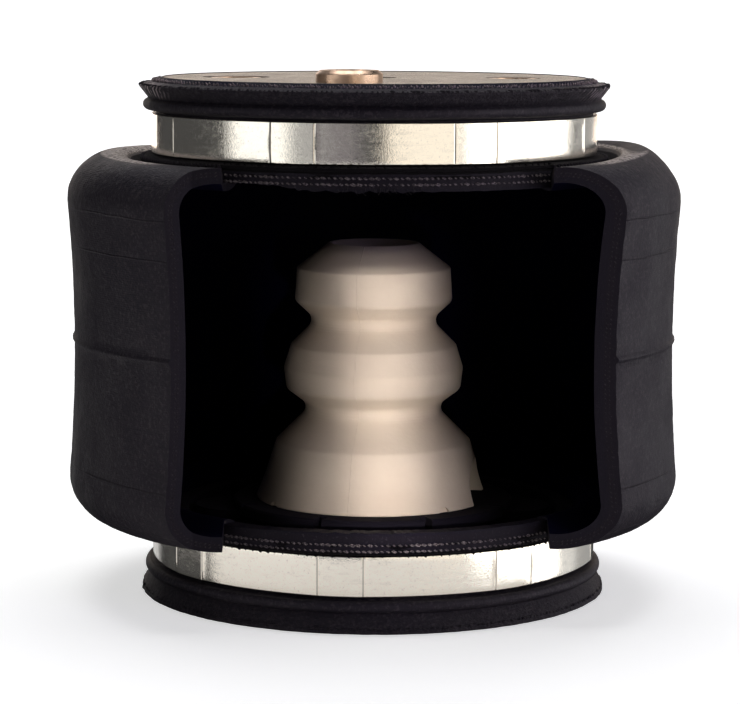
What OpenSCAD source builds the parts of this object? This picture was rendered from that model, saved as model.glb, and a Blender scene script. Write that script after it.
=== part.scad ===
// Sleeve-type air spring with an internal jounce bumper, as a cutaway sample.
// The Z axis is the axis of the spring. The origin is the centre of the lower mounting face.
// Both ends are built from the mounting face inwards: "depth" is the distance from that face.

/* [Spring] */
// Height from the lower to the upper mounting face at rest
spring_h = 149; // [142:1:160]

/* [Bellows] */
// Largest radius of the bellows, at its two shoulders
shoulder_r = 88.6; // [87:0.2:94]
// Outer radius of the rounding at each shoulder
shoulder_round = 12; // [10.5:0.5:13.5]
// Depth of the flat crest beside each neck
crest_depth = 22.3; // [22:0.1:24]
// How much narrower the bellows is at mid height than at its shoulders
waist_depth = 1.7; // [0.8:0.1:3]
// Slope of the crest down towards the neck, in degrees
crest_slope = 20; // [12:1:24]
// Thickness of the inner rubber liner
liner_t = 1.7; // [1.3:0.1:2]
// Thickness of each of the two rubberised cord plies
ply_t = 0.8; // [0.6:0.05:0.9]
// Thickness of the outer rubber cover on the wall
cover_t = 0.9; // [0.7:0.05:1.2]
// Height of the moulded ridge round the middle of the cover
ridge_h = 0.6; // [0.2:0.1:1]

/* [Neck and lip] */
// Inner radius of the bellows neck, where it sits on the end plate
neck_r = 59.2; // [58:0.2:59.8]
// Radius of the bend from the neck into the crest, on the inner surface
neck_bend = 7.2; // [6.6:0.1:7.6]
// Radius of the end plate at its mounting face
face_r = 61.2; // [60.6:0.2:62]
// Depth over which the neck flares out to the mounting face
flare_depth = 4.9; // [4:0.1:5.4]
// Radius of the pointed lip at the end of the sleeve
lip_r = 67.8; // [67.2:0.2:69]
// Depth of the point of the lip
lip_depth = 1.9; // [1.6:0.1:2.4]
// Radius of the round bead beside the crimp ring
bead_r = 66.8; // [66.2:0.1:67.4]
// Radius left round the necks where the window is cut
collar_r = 67; // [66.8:0.1:68.5]

/* [Crimp rings] */
// Depth of the outer edge of each crimp ring
ring_depth = 10; // [9.8:0.1:10.4]
// Height of each crimp ring
ring_h = 11.5; // [10.5:0.1:11.7]
// Thickness of each crimp ring
ring_t = 1.9; // [1.5:0.1:2.1]
// How far the ring squeezes the neck, on the radius
crimp_squeeze = 0.3; // [0.1:0.05:0.5]

/* [Window] */
// Distance of the window plane from the axis
window_dist = 61; // [59:0.2:66]
// Turn of the window plane about the axis, in degrees
window_turn = 4; // [0:0.5:8]
// Where the window meets the outer surface, left of the axis
window_left = 56; // [54:0.5:58]
// Turn of the left cut face, in degrees
left_face_turn = 30; // [20:1:40]
// Where the collar cut starts, left of the axis
collar_left = 41; // [38:0.5:44]
// Where the collar cut ends, right of the axis
collar_right = 48.4; // [44:0.2:50]

/* [End plates] */
// Thickness of the plate between its ribs
plate_t = 8; // [6.5:0.5:8.5]
// Depth of the rim and of the insert bosses
rim_depth = 24; // [23:0.5:25]
// Depth of the deck that the bumper stands on
deck_depth = 26.4; // [26:0.1:28]
// Inner radius of the deck
deck_in_r = 28; // [27.6:0.2:28.6]
// Outer radius of the deck
deck_out_r = 41; // [39:0.5:43]
// Thickness of the deck
deck_t = 3; // [2:0.5:3.5]
// Number of radial ribs
rib_count = 16; // [12:2:20]
// Thickness of each rib
rib_t = 2.6; // [2:0.2:3.2]

/* [Inserts and port] */
// Distance between the two threaded inserts of one end
insert_spacing = 80; // [78:0.5:82]
// Outer radius of a threaded insert
insert_r = 7.5; // [6.8:0.1:7.8]
// Radius of a mounting thread, measured at its crests in the hole
thread_r = 4; // [3.2:0.1:4.6]
// Depth of the seat of each insert below the mounting face
insert_seat = 1.5; // [1:0.1:2]
// Length of each threaded insert
insert_len = 17.5; // [15:0.5:19]
// Radius of the left recess in the face
left_recess_r = 9.8; // [8:0.1:10.2]
// Radius of the right recess in the face
right_recess_r = 8.1; // [8:0.1:10.2]
// Radius of the flange of the air port
port_r = 9.2; // [8.6:0.1:9.8]
// Radius of the pipe-thread bore of the air port
port_bore_r = 5.5; // [4.8:0.1:6]
// Height of the air port above the mounting face
port_h = 3.4; // [2.4:0.1:4.4]
// Position of the air port to the right of the axis
port_x = -7; // [-10:0.5:-4]
// Position of the air port behind the axis
port_y = -44; // [-46:0.5:-43.5]
// Radius of the blind hole in the middle of each face
centre_hole_r = 6.4; // [5:0.1:7]
// Depth of that blind hole
centre_hole_depth = 5; // [3:0.5:5.5]

/* [Bumper] */
// Height of the bumper
bumper_h = 74.8; // [68:0.2:80]
// Radius of the foot of the skirt
skirt_r = 34.3; // [32:0.1:36]
// Wall of the skirt at its foot
skirt_wall = 4.2; // [3:0.1:5]
// Radius of the lower waist
lower_waist_r = 18.3; // [17:0.1:20]
// Radius of the middle lobe
middle_lobe_r = 26.2; // [24:0.1:27]
// Radius of the upper waist
upper_waist_r = 16.9; // [16:0.1:18.5]
// Radius of the upper lobe
upper_lobe_r = 23.3; // [21.5:0.1:24.5]
// Radius of the flat top
bumper_top_r = 13.2; // [12.6:0.1:15]
// Radius of the screw's counterbore
counterbore_r = 10; // [9.8:0.1:11]
// Direction of the arch in the skirt, in degrees from the right
arch_turn = -8; // [-15:1:5]
// Half width of the arch
arch_r = 13.6; // [12:0.2:17]

/* [Bumper screw] */
// Radius of the screw's thread
screw_r = 4.75; // [4.3:0.05:5]
// Radius of the screw's head
screw_head_r = 7.1; // [6.6:0.1:7.4]
// Height of the screw's head
screw_head_h = 9.5; // [8:0.1:10.5]
// Radius of the spacer tube
tube_r = 7; // [6.8:0.1:7.3]
// Thickness of the washer
washer_t = 1.6; // [1.2:0.1:2.4]
// Gap on the radius between the pieces of the screw joint
joint_gap = 0.05; // [0.03:0.01:0.1]

/* [Hidden] */
$fn = 160;

// Colours as the sample shows them
RUBBER = "#211d20";
CORD = "#3a3336";
LINER = "#2a2628";
NYLON = "#2c2a2b";
ALUMINIUM = "#d5d3cd";
BRASS = "#c79a72";
URETHANE = "#d8c9b2";
STEEL = "#8d8f92";

// Steps in the outlines' arcs
BEND_STEPS = 8;
SHOULDER_STEPS = 14;
WAIST_STEPS = 5;
FILLET_STEPS = 6;

EPS = 0.01;
MID = spring_h / 2;
WALL_T = liner_t + 2 * ply_t + cover_t;
CLAMP_R = neck_r + WALL_T - crimp_squeeze;
RING_OUT_R = CLAMP_R + ring_t;
RING_END = ring_depth + ring_h;

// Bellows outline of one end, as [radius, depth] points. A layer lies between two offsets
// from the inner surface, and every arc keeps its centre while its radius takes the offset.
BEND_C_R = neck_r + neck_bend;
SHOULDER_C = [shoulder_r - shoulder_round, crest_depth + shoulder_round];
BEND_TO_SHOULDER = neck_bend + shoulder_round - WALL_T;
BEND_C = [BEND_C_R, SHOULDER_C[1]
    - (BEND_TO_SHOULDER - (SHOULDER_C[0] - BEND_C_R) * sin(crest_slope)) / cos(crest_slope)];
WAIST_RUN = MID - SHOULDER_C[1];
WAIST_REACH = (WAIST_RUN * WAIST_RUN + waist_depth * waist_depth) / (2 * waist_depth);
WAIST_ANGLE = asin(WAIST_RUN / WAIST_REACH);
WAIST_C_R = SHOULDER_C[0] + WAIST_REACH * cos(WAIST_ANGLE);
WAIST_R = WAIST_REACH - shoulder_round;

// The end of the sleeve is cut along a bevel, from the plate's edge to the lip's point
LIP_CLEAR = 0.2;
SLEEVE_END = [face_r, LIP_CLEAR];
FLARE_ANGLE = atan((face_r - neck_r) / (flare_depth - LIP_CLEAR));
BEVEL = [lip_r - face_r, lip_depth - LIP_CLEAR] / norm([lip_r - face_r, lip_depth - LIP_CLEAR]);
BEVEL_PER_OFFSET = 1 / (BEVEL * [cos(FLARE_ANGLE), sin(FLARE_ANGLE)]);

// Bead, notch and root fillet of the cover
BEAD_ROUND = 1.6;
BEAD_C = [bead_r - BEAD_ROUND, ring_depth - 2.5];
NOTCH = [bead_r - 1.5, lip_depth + 3.8];
ROOT_DEPTH = RING_END + 0.4;
DISH_DEPTH = BEND_C[1] + neck_bend - WALL_T;

// Distance the window keeps from each end, and the size of the slabs that cut it
WINDOW_MARGIN = 12;
CUT_REACH = 120;
CUT_BACK = 40;

// End plate pieces
RIM_T = 5;
BOSS_WALL = 4.5;
DECK_WALL = 3;
DECK_SLOT = 2.4;
DECK_SLOTS = 8;
EDGE = 0.6;
RIB_START = 10;
RIB_SHORT = 3;
RING_EDGE = 0.3;
PORT_BODY_R = port_r - 1.2;
PORT_BOSS_R = PORT_BODY_R + 3.5;
PORT_HOLE_R = 3.2;
PORT_THREAD_LEN = 14;
PORT_CHAMFER = 0.7;
PORT_EDGE = 1;

// Locking grooves: depth, bevel and span on the port, and shares of an insert's length
KEY_GROOVE = 0.9;
KEY_BEVEL = 1;
PORT_KEY = [9, 14];
INSERT_KEY = [0.42, 0.64];
INSERT_BEVEL = 0.04;

// Bumper and its screw joint
SEAT_H = 29;
WEB_T = 8;
SCREW_TIP = 12;
CENTRE_INSERT_START = 7;
HEX_FLATS = 7.94;
HEX_DEPTH = 5;
NOTCH_R = 1.6;
NOTCH_TURNS = [-53, 213];
WASHER_R = counterbore_r - 0.4;
SEAT_Z = deck_depth + SEAT_H;

// Heights of the bumper's outline, as shares of its height above the deck
SKIRT_BULGE = 0.095;
SKIRT_HOLLOW = 0.14;
CREASE = 0.225;
SKIRT_TOP = 0.262;
LOWER_WAIST = 0.36;
LOBE_START = 0.432;
LOBE_MIDDLE = 0.513;
LOBE_END = 0.602;
UPPER_WAIST = 0.7;
UPPER_LOBE_START = 0.776;
UPPER_LOBE_END = 0.904;
TOP_BEVEL = 2.2;

function reversed(path) = [for (i = [len(path) - 1 : -1 : 0]) path[i]];
function flipped(path) = [for (p = path) [p[0], spring_h - p[1]]];

// Points of an arc about c, with angles measured from +radius towards +depth
function arc(c, r, from, to, steps) =
    [for (i = [0 : steps]) let (a = from + (to - from) * i / steps) c + r * [cos(a), sin(a)]];

// Outline with a rounded corner of radius p[2] at each point [x, y, radius]
function rounded(points) = [
    for (i = [0 : len(points) - 1])
        let (
            p = points[i],
            here = [p[0], p[1]],
            before = points[(i + len(points) - 1) % len(points)],
            after = points[(i + 1) % len(points)],
            u = unit([before[0], before[1]] - here),
            v = unit([after[0], after[1]] - here),
            half = acos(u * v) / 2,
            reach = p[2] / tan(half),
            c = here + unit(u + v) * p[2] / sin(half),
            a0 = angle_of(here + u * reach - c),
            turn = turn_between(a0, angle_of(here + v * reach - c))
        )
        for (s = [0 : p[2] > 0 ? FILLET_STEPS : 0])
            p[2] > 0
                ? c + p[2] * [cos(a0 + turn * s / FILLET_STEPS), sin(a0 + turn * s / FILLET_STEPS)]
                : here
];
function unit(v) = v / norm(v);
function angle_of(v) = atan2(v[1], v[0]);
function turn_between(a, b) = b - a > 180 ? b - a - 360 : b - a < -180 ? b - a + 360 : b - a;

// Surface at one offset from the inner surface, from the bevelled end to mid height
function sleeve_end(offset) = SLEEVE_END + offset * BEVEL_PER_OFFSET * BEVEL;
function flare_corner(offset) = [neck_r + offset, flare_depth + offset * tan(FLARE_ANGLE / 2)];
function bend_arc(offset) =
    arc(BEND_C, neck_bend - offset, 180, 90 - crest_slope, BEND_STEPS);
function shoulder_arc(offset) =
    arc(SHOULDER_C, shoulder_round - WALL_T + offset, -90 - crest_slope, WAIST_ANGLE, SHOULDER_STEPS);
function waist_arc(offset, end) =
    arc([WAIST_C_R, MID], WAIST_R + WALL_T - offset, 180 + WAIST_ANGLE, end, WAIST_STEPS);
function past_first(path) = [for (i = [1 : len(path) - 1]) path[i]];
function half_surface(offset) = concat(
    [sleeve_end(offset), flare_corner(offset)],
    bend_arc(offset),
    shoulder_arc(offset),
    past_first(waist_arc(offset, 180))
);

// Outer surface of the cover, with the lip, the bead, the root fillet and the mid ridge
function cover_surface() = concat(
    [[lip_r, lip_depth], [lip_r - 0.1, lip_depth + 0.7], NOTCH],
    arc(BEAD_C, BEAD_ROUND, -65, 100, FILLET_STEPS),
    [
        [CLAMP_R, ring_depth - 0.4],
        [CLAMP_R, ROOT_DEPTH - 0.2],
        [RING_OUT_R + 0.4, ROOT_DEPTH],
        [collar_r - 0.5, ROOT_DEPTH + 0.3],
        [collar_r - 0.1, ROOT_DEPTH + 0.9],
        [collar_r + 0.1, (ROOT_DEPTH + DISH_DEPTH) / 2 + 0.4],
    ],
    arc(BEND_C, neck_bend - WALL_T, 90 - crest_slope / 2, 90 - crest_slope, 2),
    shoulder_arc(WALL_T),
    past_first(waist_arc(WALL_T, 180 + asin(1.2 / WAIST_R))),
    [[WAIST_C_R - WAIST_R + ridge_h, MID - 0.25]]
);

function all_but_last(path) = [for (i = [0 : len(path) - 2]) path[i]];

// Closed outline of a layer, from its two surfaces
function layer_outline(inner, outer) = concat(
    inner,
    reversed(all_but_last(flipped(inner))),
    all_but_last(flipped(outer)),
    reversed(outer)
);

// The window: a slab in front of the window plane, with its left face turned, and a collar cut
// that follows each neck
module window_cut() {
    difference() {
        union() {
            difference() {
                rotate([0, 0, window_turn])
                    translate([-CUT_REACH, -window_dist - CUT_REACH, WINDOW_MARGIN])
                        cube([2 * CUT_REACH, CUT_REACH, spring_h - 2 * WINDOW_MARGIN]);
                translate([-window_left, -sqrt(shoulder_r ^ 2 - window_left ^ 2), 0])
                    rotate([0, 0, left_face_turn])
                        translate([-CUT_REACH, 0, 0]) cube([2 * CUT_REACH, CUT_REACH, spring_h]);
            }
            translate([-collar_left, -CUT_REACH, WINDOW_MARGIN])
                cube([collar_left + collar_right, CUT_REACH - CUT_BACK, spring_h - 2 * WINDOW_MARGIN]);
        }
        cylinder(r = collar_r, h = spring_h);
    }
}

module bellows_layer(inner, outer) {
    difference() {
        rotate_extrude() polygon(layer_outline(inner, outer));
        window_cut();
    }
}

module inner_liner() {
    color(LINER) bellows_layer(half_surface(0), half_surface(liner_t));
}

module inner_cord_ply() {
    color(CORD) bellows_layer(half_surface(liner_t), half_surface(liner_t + ply_t));
}

module outer_cord_ply() {
    color(CORD) bellows_layer(half_surface(liner_t + ply_t), half_surface(liner_t + 2 * ply_t));
}

module outer_cover() {
    ply_side = half_surface(liner_t + 2 * ply_t);
    outline = concat(
        ply_side,
        reversed(all_but_last(flipped(ply_side))),
        flipped(cover_surface()),
        reversed(cover_surface())
    );
    color(RUBBER)
        difference() {
            rotate_extrude() polygon(outline);
            window_cut();
        }
}

// Swaged band round one neck, from the lower mounting face
module crimp_ring() {
    color(ALUMINIUM)
        rotate_extrude()
            polygon([
                [CLAMP_R, ring_depth],
                [RING_OUT_R - RING_EDGE, ring_depth],
                [RING_OUT_R, ring_depth + RING_EDGE],
                [RING_OUT_R, RING_END - RING_EDGE],
                [RING_OUT_R - RING_EDGE, RING_END],
                [CLAMP_R, RING_END],
            ]);
}

module lower_crimp_ring() {
    crimp_ring();
}

module upper_crimp_ring() {
    at_upper_end() crimp_ring();
}

// Turns what is built up from the lower face over, to hang from the upper face
module at_upper_end() {
    translate([0, 0, spring_h]) mirror([0, 0, 1]) children();
}

// Disc, flared edge and rim of a plate
module plate_shell() {
    rotate_extrude()
        polygon([
            [0, 0],
            [face_r - LIP_CLEAR, 0],
            [face_r, LIP_CLEAR],
            [neck_r, flare_depth],
            [neck_r, rim_depth - EDGE],
            [neck_r - EDGE, rim_depth],
            [neck_r - RIM_T, rim_depth],
            [neck_r - RIM_T, plate_t],
            [0, plate_t],
        ]);
}

module plate_ribs() {
    for (i = [0 : rib_count - 1])
        rotate([0, 0, (i + 0.5) * 360 / rib_count])
            translate([RIB_START, -rib_t / 2, plate_t - EPS])
                cube([neck_r - RIM_T - RIB_START + 1, rib_t, rim_depth - plate_t - RIB_SHORT]);
}

// Ring that the bumper stands on: a standing wall and a slotted deck
module bumper_deck() {
    wall_r = (deck_in_r + deck_out_r) / 2 - 1;
    difference() {
        rotate_extrude()
            polygon([
                [wall_r - DECK_WALL / 2, plate_t - EPS],
                [wall_r + DECK_WALL / 2, plate_t - EPS],
                [wall_r + DECK_WALL / 2, deck_depth - deck_t],
                [deck_out_r, deck_depth - deck_t],
                [deck_out_r, deck_depth - EDGE],
                [deck_out_r - EDGE, deck_depth],
                [deck_in_r, deck_depth],
                [deck_in_r, deck_depth - deck_t],
                [wall_r - DECK_WALL / 2, deck_depth - deck_t],
            ]);
        for (i = [0 : DECK_SLOTS - 1])
            rotate([0, 0, (i + 0.5) * 360 / DECK_SLOTS])
                translate([wall_r + 2.5, -DECK_SLOT / 2, deck_depth - deck_t - EPS])
                    cube([deck_out_r, DECK_SLOT, deck_t + 2 * EPS]);
    }
}

module boss(r) {
    translate([0, 0, plate_t - EPS]) cylinder(r = r, h = rim_depth - plate_t + EPS);
}

// Body shared by both end plates, without the pockets for the metal inserts
module plate_body() {
    plate_shell();
    plate_ribs();
    bumper_deck();
    boss(insert_r + BOSS_WALL);
    for (side = [-1, 1]) translate([side * insert_spacing / 2, 0, 0]) boss(insert_r + BOSS_WALL);
}

// Space of an insert in its plate: the insert itself and the open recess above it
module insert_pocket(recess_r) {
    translate([0, 0, insert_seat]) insert_blank(insert_len);
    translate([0, 0, -EPS]) cylinder(r = recess_r, h = insert_seat + EPS);
}

module insert_pockets() {
    translate([-insert_spacing / 2, 0, 0]) insert_pocket(left_recess_r);
    translate([insert_spacing / 2, 0, 0]) insert_pocket(right_recess_r);
}

module centre_hole() {
    translate([0, 0, -EPS]) cylinder(r = centre_hole_r, h = centre_hole_depth + EPS);
}

module lower_end_plate() {
    color(NYLON)
        difference() {
            plate_body();
            insert_pockets();
            centre_hole();
            translate([0, 0, CENTRE_INSERT_START]) insert_blank(rim_depth - CENTRE_INSERT_START);
            translate([0, 0, rim_depth - EPS]) cylinder(r = insert_r, h = 2 * EPS);
        }
}

module upper_end_plate() {
    color(NYLON)
        at_upper_end()
            difference() {
                union() {
                    plate_body();
                    at_port() boss(PORT_BOSS_R);
                }
                insert_pockets();
                centre_hole();
                at_port() port_body();
                at_port() cylinder(r = PORT_HOLE_R, h = deck_depth + EPS);
            }
}

module at_port() {
    translate([port_x, port_y, 0]) children();
}

// Outer form of a threaded insert: two bands with a locking groove between them
module insert_blank(length) {
    rotate_extrude()
        polygon([
            [0, 0],
            [insert_r, 0],
            [insert_r, length * INSERT_KEY[0]],
            [insert_r - KEY_GROOVE, length * (INSERT_KEY[0] + INSERT_BEVEL)],
            [insert_r - KEY_GROOVE, length * (INSERT_KEY[1] - INSERT_BEVEL)],
            [insert_r, length * INSERT_KEY[1]],
            [insert_r, length],
            [0, length],
        ]);
}

module threaded_insert() {
    color(BRASS)
        translate([0, 0, insert_seat])
            difference() {
                insert_blank(insert_len);
                translate([0, 0, -EPS]) cylinder(r = thread_r, h = insert_len + 2 * EPS);
            }
}

module lower_left_insert() {
    translate([-insert_spacing / 2, 0, 0]) threaded_insert();
}

module lower_right_insert() {
    translate([insert_spacing / 2, 0, 0]) threaded_insert();
}

module upper_left_insert() {
    at_upper_end() lower_left_insert();
}

module upper_right_insert() {
    at_upper_end() lower_right_insert();
}

module lower_centre_insert() {
    length = rim_depth - CENTRE_INSERT_START;
    color(BRASS)
        translate([0, 0, CENTRE_INSERT_START])
            difference() {
                insert_blank(length);
                translate([0, 0, -EPS]) cylinder(r = screw_r + joint_gap, h = length + 2 * EPS);
            }
}

function port_groove() = [
    [PORT_BODY_R, PORT_KEY[0]],
    [PORT_BODY_R - KEY_GROOVE, PORT_KEY[0] + KEY_BEVEL],
    [PORT_BODY_R - KEY_GROOVE, PORT_KEY[1] - KEY_BEVEL],
    [PORT_BODY_R, PORT_KEY[1]],
];

// Stem of the air port below the face, with a locking groove
module port_body() {
    rotate_extrude()
        polygon([
            [0, -EPS],
            [PORT_BODY_R, -EPS],
            each port_groove(),
            [PORT_BODY_R, rim_depth + EPS],
            [0, rim_depth + EPS],
        ]);
}

module air_port() {
    color(BRASS)
        at_upper_end()
            at_port()
                rotate_extrude()
                    polygon([
                        [port_bore_r + PORT_CHAMFER, -port_h],
                        [port_r - PORT_EDGE, -port_h],
                        [port_r, PORT_EDGE - port_h],
                        [port_r, 0],
                        [PORT_BODY_R, 0],
                        each port_groove(),
                        [PORT_BODY_R, rim_depth],
                        [PORT_HOLE_R, rim_depth],
                        [PORT_HOLE_R, PORT_THREAD_LEN - port_h],
                        [port_bore_r, PORT_THREAD_LEN - port_h],
                        [port_bore_r, PORT_CHAMFER - port_h],
                    ]);
}

function up(share) = deck_depth + share * bumper_h;

module bumper_form() {
    crease_r = 0.83 * skirt_r;
    rotate_extrude()
        polygon(rounded([
            [skirt_r - skirt_wall, deck_depth, 0.5],
            [skirt_r, deck_depth, 0.5],
            [0.92 * skirt_r, up(SKIRT_BULGE), 8],
            [crease_r, up(CREASE), 2],
            [0.75 * skirt_r, up(SKIRT_TOP), 3],
            [lower_waist_r, up(LOWER_WAIST), 3],
            [middle_lobe_r - 0.7, up(LOBE_START), 2.5],
            [middle_lobe_r, up(LOBE_MIDDLE), 3],
            [middle_lobe_r - 2, up(LOBE_END), 1.5],
            [upper_waist_r, up(UPPER_WAIST), 3],
            [upper_lobe_r - 0.3, up(UPPER_LOBE_START), 2],
            [upper_lobe_r - 0.9, up(UPPER_LOBE_END), 1],
            [bumper_top_r, up(1), 0.4],
            [counterbore_r + TOP_BEVEL, up(1), 0],
            [counterbore_r, up(1) - TOP_BEVEL, 0],
            [counterbore_r, SEAT_Z, 0],
            [tube_r + joint_gap, SEAT_Z, 0],
            [tube_r + joint_gap, SEAT_Z - WEB_T, 0],
            [15.5, SEAT_Z - WEB_T - 1.5, 4],
            [0.73 * skirt_r, up(SKIRT_HOLLOW), 6],
        ]));
}

// Three-lobed bumper with a hollow skirt, an arch in the skirt and two notches in its foot
module bumper() {
    color(URETHANE)
        difference() {
            bumper_form();
            rotate([0, 0, arch_turn])
                translate([lower_waist_r - 3, 0, deck_depth - 1.5])
                    rotate([0, 90, 0]) cylinder(r = arch_r, h = skirt_r);
            for (turn = NOTCH_TURNS)
                rotate([0, 0, turn])
                    translate([skirt_r - 1.3, 0, deck_depth])
                        rotate([0, 90, 0]) cylinder(r = NOTCH_R, h = skirt_r);
        }
}

module bumper_spacer_tube() {
    color(STEEL)
        translate([0, 0, rim_depth])
            difference() {
                cylinder(r = tube_r, h = SEAT_Z - rim_depth);
                translate([0, 0, -EPS])
                    cylinder(r = screw_r + joint_gap, h = SEAT_Z - rim_depth + 2 * EPS);
            }
}

module bumper_washer() {
    color(STEEL)
        translate([0, 0, SEAT_Z])
            difference() {
                cylinder(r = WASHER_R, h = washer_t);
                translate([0, 0, -EPS]) cylinder(r = screw_r + joint_gap, h = washer_t + 2 * EPS);
            }
}

// Socket-head screw that clamps the bumper to the lower plate
module bumper_screw() {
    head_z = SEAT_Z + washer_t;
    color(STEEL)
        difference() {
            rotate_extrude()
                polygon([
                    [0, SCREW_TIP],
                    [screw_r - 0.8, SCREW_TIP],
                    [screw_r, SCREW_TIP + 0.8],
                    [screw_r, head_z],
                    [screw_head_r, head_z],
                    [screw_head_r, head_z + screw_head_h - 0.5],
                    [screw_head_r - 0.5, head_z + screw_head_h],
                    [0, head_z + screw_head_h],
                ]);
            translate([0, 0, head_z + screw_head_h - HEX_DEPTH])
                cylinder(d = HEX_FLATS / cos(30), h = HEX_DEPTH + EPS, $fn = 6);
        }
}

lower_end_plate();
upper_end_plate();
lower_crimp_ring();
upper_crimp_ring();
inner_liner();
inner_cord_ply();
outer_cord_ply();
outer_cover();
air_port();
upper_left_insert();
upper_right_insert();
lower_left_insert();
lower_right_insert();
lower_centre_insert();
bumper();
bumper_spacer_tube();
bumper_washer();
bumper_screw();
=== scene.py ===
"""Cutaway air spring: rubber sleeve, crimp rings, brass inserts and a cream bumper, on white."""
import math
import random
from functools import partial

import bmesh
import bpy
from mathutils import Matrix, Vector, noise


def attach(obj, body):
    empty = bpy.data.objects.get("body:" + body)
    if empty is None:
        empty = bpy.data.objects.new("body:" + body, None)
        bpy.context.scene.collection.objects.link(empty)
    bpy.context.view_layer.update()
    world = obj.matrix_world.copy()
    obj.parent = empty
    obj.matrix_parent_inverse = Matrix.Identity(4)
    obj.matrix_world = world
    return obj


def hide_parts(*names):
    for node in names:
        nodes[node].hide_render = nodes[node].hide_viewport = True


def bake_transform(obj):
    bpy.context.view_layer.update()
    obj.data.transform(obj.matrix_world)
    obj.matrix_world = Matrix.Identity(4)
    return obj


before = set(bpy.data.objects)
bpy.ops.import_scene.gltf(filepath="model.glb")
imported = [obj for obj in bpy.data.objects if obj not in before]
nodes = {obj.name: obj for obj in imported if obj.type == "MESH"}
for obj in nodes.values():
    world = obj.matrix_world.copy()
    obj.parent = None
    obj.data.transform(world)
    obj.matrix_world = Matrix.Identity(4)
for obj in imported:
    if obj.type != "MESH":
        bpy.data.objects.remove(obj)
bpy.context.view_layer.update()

MM = 0.001

# Sleeve, in millimetres. "Depth" is the distance from the nearer mounting face.
SPRING_H = 149.0
SHOULDER_R = 88.6
SHOULDER_ROUND = 12.0
CREST_DEPTH = 22.3
CREST_SLOPE = 20.0
WAIST_DEPTH = 1.7
LINER_T = 1.7
PLY_T = 0.8
COVER_T = 0.9
WALL_T = LINER_T + 2 * PLY_T + COVER_T
RIDGE_H = 0.6
NECK_R = 59.2
NECK_BEND = 7.2
FACE_R = 61.2
FLARE_DEPTH = 4.9
LIP_R = 67.8
LIP_DEPTH = 1.9
LIP_CLEAR = 0.2
RESTING_LIP_DEPTH = 0.45
EDGE_RAISE = 0.4
BEAD_R = 66.8
BEAD_ROUND = 1.6
COLLAR_R = 67.0

# Crimp rings
RING_DEPTH = 10.0
RING_H = 11.5
RING_T = 1.9
RING_END = RING_DEPTH + RING_H
CLAMP_R = NECK_R + WALL_T - 0.3
RING_OUT_R = CLAMP_R + RING_T

# Window
WINDOW_MARGIN = 12.0
WINDOW_DIST = 61.0
WINDOW_TURN = math.radians(4)
WINDOW_LEFT = 56.0
LEFT_FACE_TURN = math.radians(30)
COLLAR_LEFT = -41.0
COLLAR_RIGHT = 48.4
COLLAR_SPAN = [math.asin(x / COLLAR_R) for x in (COLLAR_LEFT, COLLAR_RIGHT)]
LEFT_FACE_REACH = 16.0
PLANE_END = 80.0
CUTTER_FAR = 110.0
CUTTER_ROWS = 100
COLLAR_STEPS = 110
PLAN_STEP = 0.9
KNIFE_WAVES = ((0.16, 0.11), (0.07, 0.9))
UNDERCUT = 5.8

# Torn inner edge of the collars: its depth, how ragged it is and how far it steps back at the left
# (lower and upper end), the levels that it replaces, and the step down to the undercut
TORN_DEPTH = 28.3
TORN_RAGGED = (0.25, 0.75)
TORN_STEP_BACK = (0.4, 1.5)
TORN_FROM = 25.8
TORN_TO = 31.5
TEAR_STEP = 0.1

# Inserts and port
INSERT_X = 40.0
INSERT_R = 7.5
INSERT_SEAT = 1.5
INSERT_LEN = 17.5
THREAD_R = 4.0
THREAD_DEPTH = 0.75
THREAD_PITCH = 1.5875

MID = SPRING_H / 2
ROUND_STEPS = 320
UV_R = 80.0
SHARP_ANGLE = math.radians(32)


# Sleeve outline

def share_between(value, start, end):
    """0 at start and before it, 1 at end and beyond."""
    return min(1.0, max(0.0, (value - start) / (end - start)))


def arc(centre, radius, start, end, steps):
    """Points of an arc, with angles in degrees from +radius towards +depth."""
    angles = [math.radians(start + (end - start) * i / steps) for i in range(steps + 1)]
    return [(centre[0] + radius * math.cos(a), centre[1] + radius * math.sin(a)) for a in angles]


BEND_C_R = NECK_R + NECK_BEND
SHOULDER_C = (SHOULDER_R - SHOULDER_ROUND, CREST_DEPTH + SHOULDER_ROUND)
SLOPE = math.radians(CREST_SLOPE)
BEND_TO_SHOULDER = NECK_BEND + SHOULDER_ROUND - WALL_T
BEND_C = (BEND_C_R, SHOULDER_C[1]
          - (BEND_TO_SHOULDER - (SHOULDER_C[0] - BEND_C_R) * math.sin(SLOPE)) / math.cos(SLOPE))
WAIST_RUN = MID - SHOULDER_C[1]
WAIST_REACH = (WAIST_RUN ** 2 + WAIST_DEPTH ** 2) / (2 * WAIST_DEPTH)
WAIST_ANGLE = math.degrees(math.asin(WAIST_RUN / WAIST_REACH))
WAIST_C_R = SHOULDER_C[0] + WAIST_REACH * math.cos(math.radians(WAIST_ANGLE))
WAIST_R = WAIST_REACH - SHOULDER_ROUND
FLARE = math.atan((FACE_R - NECK_R) / (FLARE_DEPTH - LIP_CLEAR))
BEVEL = Vector((LIP_R - FACE_R, LIP_DEPTH - LIP_CLEAR)).normalized()
BEVEL_PER_OFFSET = 1 / (BEVEL.x * math.cos(FLARE) + BEVEL.y * math.sin(FLARE))
ROOT_DEPTH = RING_END + 0.4
DISH_DEPTH = BEND_C[1] + NECK_BEND - WALL_T


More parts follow.
